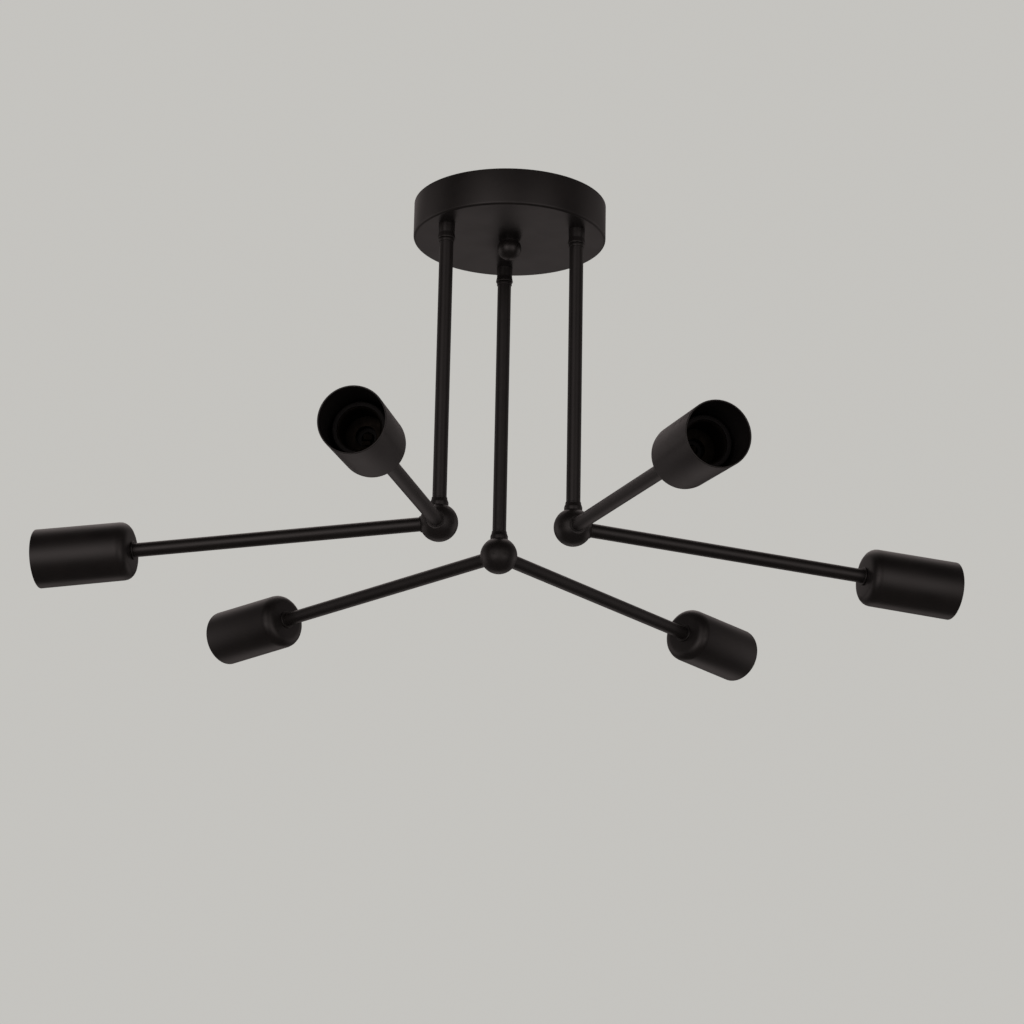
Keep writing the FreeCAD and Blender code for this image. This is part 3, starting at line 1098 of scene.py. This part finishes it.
@dataclass
class ArmPatterns:
    """The pieces that every arm has, drawn once along +z from a ball's middle. Millimetres."""

    ring_radius: float = 5.75
    ring_thickness: float = 1.3
    cup_ring_radius: float = 6.6
    ring_edge_round: float = 0.4
    cup_length: float = 69.0
    cup_mouth_radius: float = 21.0
    cup_back_radius: float = 20.6
    cup_wall: float = 1.0
    cup_back_round: float = 7.5
    cup_lip_round: float = 0.45
    nut_across_flats: float = 14.0
    nut_height: float = 4.0
    holder_length: float = 42.0
    holder_radius: float = 17.5
    holder_rim_round: float = 0.8
    holder_rim_length: float = 4.0
    holder_rim_straight_length: float = 3.7
    holder_rim_step: float = 0.6
    holder_step_round: float = 0.2
    holder_mouth_round: float = 0.5
    holder_socket_clearance: float = 0.55
    holder_boss_radius: float = 8.5
    holder_boss_length: float = 5.0
    holder_boss_edge_round: float = 0.4
    holder_boss_foot_round: float = 0.6
    holder_shoulder_length: float = 3.5
    holder_thread_depth: float = 7.0
    holder_floor_depth: float = 22.0
    contact_well_depth: float = 5.0
    contact_well_round: float = 0.3
    shell_bore_radius: float = 13.3
    shell_outside: float = 0.5  # how far its crests reach past its bore
    shell_wall: float = 0.4
    shell_below_rim: float = 1.0
    shell_floor_hole_radius: float = 6.5
    shell_pitch: float = 3.63
    shell_wave: float = 0.45
    shell_wave_steps: int = 12
    shell_turn_steps: int = 72
    shell_lip_length: float = 1.2
    shell_edge_round: float = 0.15
    shell_corner_round: float = 0.3

    @property
    def holder_back(self) -> float:
        """Distance of the lampholder's back from the ball's middle."""
        return LAYOUT.arm_reach + self.cup_wall + self.nut_height

    def tube(self) -> Piece:
        """Turn the arm's tube.

        Returns:
            The tube.
        """
        radius, inner = LAYOUT.tube_radius, LAYOUT.tube_radius - LAYOUT.tube_wall
        start, end = LAYOUT.seat_depth, self.holder_back + self.holder_thread_depth
        return turned([(inner, start, 0), (radius, start, 0), (radius, end, 0), (inner, end, 0)])

    def seat_rings(self) -> Piece:
        """Turn the ring at the ball and the one at the cup's back.

        Returns:
            Both rings as one piece.
        """
        bore, edge = LAYOUT.tube_seat_radius, self.ring_edge_round
        flat, reach = LAYOUT.port_flat_depth, LAYOUT.arm_reach
        at_ball = ring(self.ring_radius, bore, flat, flat + self.ring_thickness, edge)
        at_cup = ring(self.cup_ring_radius, bore, reach - self.ring_thickness, reach, edge)
        return joined([at_ball, at_cup])

    def cup(self) -> Piece:
        """Turn the cup with its rounded back and lip.

        Returns:
            The cup.
        """
        start, end, wall = LAYOUT.arm_reach, LAYOUT.arm_reach + self.cup_length, self.cup_wall
        return turned([
            (LAYOUT.tube_seat_radius, start, 0),
            (self.cup_back_radius, start, self.cup_back_round),
            (self.cup_mouth_radius, end, self.cup_lip_round),
            (self.cup_mouth_radius - wall, end, self.cup_lip_round),
            (self.cup_back_radius - wall, start + wall, self.cup_back_round - wall),
            (LAYOUT.tube_seat_radius, start + wall, 0),
        ], WIDE_TURN_STEPS)

    def lock_nut(self) -> Piece:
        """Make the hexagon nut on the cup's floor."""
        return hexagon_nut(self.nut_across_flats, LAYOUT.tube_seat_radius,
                           LAYOUT.arm_reach + self.cup_wall, self.nut_height)

    def holder(self) -> Piece:
        """Turn the lampholder's moulded body.

        Returns:
            The body.
        """
        back = self.holder_back
        rim = back + self.holder_length
        shoulder = back + self.holder_boss_length + self.holder_shoulder_length
        floor = back + self.holder_floor_depth
        well = floor - self.contact_well_depth
        socket = self.shell_bore_radius + self.holder_socket_clearance
        rim_radius = self.holder_radius - self.holder_rim_step
        return turned([
            (LAYOUT.tube_seat_radius, back, 0),
            (self.holder_boss_radius, back, self.holder_boss_edge_round),
            (self.holder_boss_radius, back + self.holder_boss_length, self.holder_boss_foot_round),
            (self.holder_radius, shoulder, self.holder_rim_round),
            (self.holder_radius, rim - self.holder_rim_length, self.holder_step_round),
            (rim_radius, rim - self.holder_rim_straight_length, self.holder_step_round),
            (rim_radius, rim, self.holder_rim_round),
            (socket, rim, self.holder_mouth_round),
            (socket, floor, 0),
            (self.shell_floor_hole_radius, floor, self.contact_well_round),
            (self.shell_floor_hole_radius, well, 0),
            (LAYOUT.tube_radius - LAYOUT.tube_wall, well, 0),
            (LAYOUT.tube_radius - LAYOUT.tube_wall, back + self.holder_thread_depth, 0),
            (LAYOUT.tube_seat_radius, back + self.holder_thread_depth, 0),
        ])

    def screw_shell(self) -> Piece:
        """Roll the shell's thread, trim it square and add its lip and floor.

        Returns:
            The shell.
        """
        floor = self.holder_back + self.holder_floor_depth
        rim = self.holder_back + self.holder_length - self.shell_below_rim
        outer = self.shell_bore_radius + self.shell_outside
        middle = outer - self.shell_wall - self.shell_wave
        count = self.shell_wave_steps
        wave = [(middle + self.shell_wave * math.cos(math.tau * step / count),
                 self.shell_pitch * step / count) for step in range(count + 1)]
        turns = math.ceil((rim - floor) / self.shell_pitch) + 2  # one to trim at each end
        thread = helix(wave, self.shell_pitch, turns, self.shell_turn_steps)
        settle(thread, Matrix.Translation((0, 0, (floor - self.shell_pitch) * MM)))
        trim(thread, floor, rim - self.shell_lip_length, fill=False)
        apply_modifier(thread, "SOLIDIFY", thickness=self.shell_wall * MM, offset=1.0)
        lip = turned([
            (middle - self.shell_wave, rim - self.shell_lip_length, 0),
            (outer, rim - self.shell_lip_length, 0),
            (outer, rim, self.shell_edge_round),
            (outer - self.shell_wall, rim, self.shell_edge_round),
        ])
        bottom = turned([
            (self.shell_floor_hole_radius, floor, 0),
            (outer, floor, self.shell_corner_round),
            (outer, floor + self.shell_wall, 0),
            (self.shell_floor_hole_radius, floor + self.shell_wall, self.shell_edge_round),
        ])
        return joined([thread, lip, bottom])


@dataclass
class ArmAssembly:
    """The two arms of one cluster, each with its rings, cup, nut and lampholder."""

    frame: dict
    cluster: Cluster
    patterns: dict[str, Piece]
    # painted shade: the screw shells get the nearly black brass that stands in for the shade inside
    # the cups
    finishes: dict[str, tuple[str, Finish]] = field(default_factory=lambda: {
        "arm": ("arm_tube", SATIN_PAINT), "cup": ("cup_shade", SATIN_PAINT),
        "lampholder": ("holder_body", BLACK_MOULDING), "screw_shell": ("holder_shell", BRASS_AS_PAINTED_SHADE)})
    shared: dict[str, tuple[str, Finish]] = field(default_factory=lambda: {
        "arm_rings": ("arm_seat_rings", SATIN_PAINT), "cup_nuts": ("cup_lock_nuts", ZINC_STEEL)})

    def build(self) -> None:
        """Copy the patterns to both arms."""
        arms = LAYOUT.arms(self.cluster)
        places = [LAYOUT.arm_place(self.cluster, arm) for arm in arms]
        for arm, place in zip(arms, places):
            start = f"{self.cluster.value}_{arm.name}_"
            for node, (name, finish) in self.finishes.items():
                piece = copied(self.patterns[node], place)
                hand_over(piece, start + name, self.cluster.body, finish, [start + node])
        start = f"{self.cluster.value}_"
        for node, (name, finish) in self.shared.items():
            piece = joined([copied(self.patterns[node], place) for place in places])
            hand_over(piece, start + name, self.cluster.body, finish, [start + node])
        # painted shade: the contacts get the nearly black brass that stands in for the shade inside
        # the cups
        dress_node(self.frame, f"{self.cluster.value}_contacts", BRASS_AS_PAINTED_SHADE)


# Studio


@dataclass(frozen=True)
class SoftLight:
    """One broad light of the surroundings, by the way it lies seen from the object."""

    bearing: float  # degrees from +x towards +y
    elevation: float  # degrees above level
    strength: float

    @property
    def direction(self) -> Vector:
        """Unit vector towards the light."""
        bearing, elevation = math.radians(self.bearing), math.radians(self.elevation)
        level = math.cos(elevation)
        return Vector((math.cos(bearing) * level, math.sin(bearing) * level, math.sin(elevation)))


@dataclass(frozen=True)
class Studio:
    """Camera at the photograph's viewpoint, soft surroundings and a pale floor."""

    camera_place: tuple[float, float, float] = (-104.83, -1801.64, -761.31)  # millimetres
    yaw: float = -3.51  # degrees, as are the next two
    pitch: float = 16.33
    roll: float = 1.11
    focal_length: float = 93.48  # millimetres, as is the sensor's width
    sensor_width: float = 36.0
    backdrop: Colour = (0.558, 0.549, 0.524)
    light_colour: Colour = (1.11, 0.97, 0.94)
    light_narrowness: float = 10.0  # power of the cosine; the higher, the narrower each light
    lights: tuple[SoftLight, ...] = (
        SoftLight(240, -5, 1.09),  # main light, front left
        SoftLight(300, -5, 0.71),  # main light, front right
        SoftLight(304, -25, 0.11),
        SoftLight(20, -5, 0.4),
        SoftLight(160, -5, 0.47),
        SoftLight(79, -25, 0.1),
        SoftLight(50, 15, 0.06),
        SoftLight(110, 15, 0.16),
        SoftLight(0, 35, 0.06),
        SoftLight(168, 35, 0.06),
        SoftLight(90, 55, 0.88),  # upper rear light
        SoftLight(90, -45, 0.31),
    )
    floor_height: float = -3.0  # metres
    floor_size: float = 5.0  # metres; small enough to leave the low lights clear

    def build(self) -> None:
        """Set up the view, the surroundings and the floor."""
        bpy.context.scene.view_settings.view_transform = "Standard"
        self.build_camera()
        self.build_world()
        self.build_floor()

    def build_camera(self) -> None:
        """Place the camera by its yaw, pitch and roll."""
        yaw, pitch, roll = (math.radians(turn) for turn in (self.yaw, self.pitch, self.roll))
        ahead = Vector((-math.sin(yaw) * math.cos(pitch), math.cos(yaw) * math.cos(pitch),
                        math.sin(pitch)))
        level = Vector((math.cos(yaw), math.sin(yaw), 0))
        raised = level.cross(ahead)
        right = math.cos(roll) * level + math.sin(roll) * raised
        up = math.cos(roll) * raised - math.sin(roll) * level
        turn = Matrix((right, up, -ahead)).transposed().to_4x4()
        data = bpy.data.cameras.new("photograph_view")
        data.lens = self.focal_length
        data.sensor_width = self.sensor_width
        camera = bpy.data.objects.new("photograph_view", data)
        camera.matrix_world = Matrix.Translation(Vector(self.camera_place) * MM) @ turn
        bpy.context.scene.collection.objects.link(camera)
        bpy.context.scene.camera = camera

    def build_world(self) -> None:
        """Light from the table of soft lights. The camera sees one even tone behind the object."""
        world = bpy.data.worlds.new("soft_surroundings")
        bpy.context.scene.world = world
        world.use_nodes = True
        world.node_tree.nodes.clear()
        graph = Graph(world.node_tree)
        towards = graph.add("ShaderNodeTexCoord").outputs["Generated"]
        total: Socket | float = 0.0
        for light in self.lights:
            total = self.add_light(graph, towards, light, total)
        colour = graph.mix("RGBA", 1.0, (*self.light_colour, 1), total, blend_type="MULTIPLY")
        lit = graph.add("ShaderNodeBackground", {"Color": colour})
        both = self.add_backdrop(graph, "ShaderNodeBackground", lit.outputs[0])
        graph.add("ShaderNodeOutputWorld", {"Surface": both})

    def add_backdrop(self, graph: Graph, kind: str, otherwise: Socket) -> Socket:
        """Show the camera the backdrop's even tone, and other rays what they would meet.

        Args:
            graph: The nodes of the world or of a material.
            kind: Type of the shader that shows the tone.
            otherwise: The shader that other rays meet.

        Returns:
            Both shaders, mixed by the kind of ray.
        """
        seen = graph.add(kind, {"Color": (*self.backdrop, 1)})
        path = graph.add("ShaderNodeLightPath")
        mixed = {0: path.outputs["Is Camera Ray"], 1: otherwise, 2: seen.outputs[0]}
        return graph.add("ShaderNodeMixShader", mixed).outputs[0]

    def add_light(self, graph: Graph, towards: Socket, light: SoftLight,
                  total: Socket | float) -> Socket:
        """Add one light's soft lobe to the sum of the lights before it.

        Args:
            graph: The world's nodes.
            towards: The direction that is looked up.
            light: The light.
            total: The lights before it.

        Returns:
            The new sum.
        """
        facing = graph.add("ShaderNodeVectorMath", {0: towards, 1: light.direction},
                           operation="DOT_PRODUCT")
        ahead = graph.calculate("MAXIMUM", facing.outputs["Value"], 0.0)
        lobe = graph.calculate("POWER", ahead, self.light_narrowness)
        return graph.calculate("MULTIPLY_ADD", lobe, light.strength, total)

    def build_floor(self) -> None:
        """Lay a plain pale floor far below."""
        bpy.ops.object.select_all(action="DESELECT")
        bpy.ops.mesh.primitive_plane_add(size=self.floor_size, location=(0, 0, self.floor_height))
        floor = bpy.context.active_object
        floor.name = "studio_floor"
        floor.data.materials.append(self.floor_material())

    def floor_material(self) -> bpy.types.Material:
        """Make the pale floor, which the camera sees in the same tone as the surroundings.

        Returns:
            The floor's material.
        """
        material = PALE_FLOOR.material()
        graph = Graph(material.node_tree)
        surface = material.node_tree.nodes["Material Output"].inputs["Surface"]
        both = self.add_backdrop(graph, "ShaderNodeEmission", surface.links[0].from_socket)
        graph.tree.links.new(both, surface)
        return material


def arm_patterns() -> dict[str, Piece]:
    """Make the pieces that every arm has, once.

    Returns:
        The pieces by the names of their CAD nodes.
    """
    drawn = ArmPatterns()
    return {"arm": drawn.tube(), "cup": drawn.cup(), "lampholder": drawn.holder(),
            "screw_shell": drawn.screw_shell(), "arm_rings": drawn.seat_rings(),
            "cup_nuts": drawn.lock_nut()}


def main() -> None:
    """Load the frame, build and dress each sub-assembly, and set up the studio."""
    logging.basicConfig(level=logging.INFO, format="%(message)s")
    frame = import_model()
    CanopyAssembly(frame).build()
    patterns = arm_patterns()
    for cluster in Cluster:
        StemAssembly(frame, cluster).build()
        ArmAssembly(frame, cluster, patterns).build()
    discard(*patterns.values())
    Studio().build()


if __name__ == "__main__":
    main()
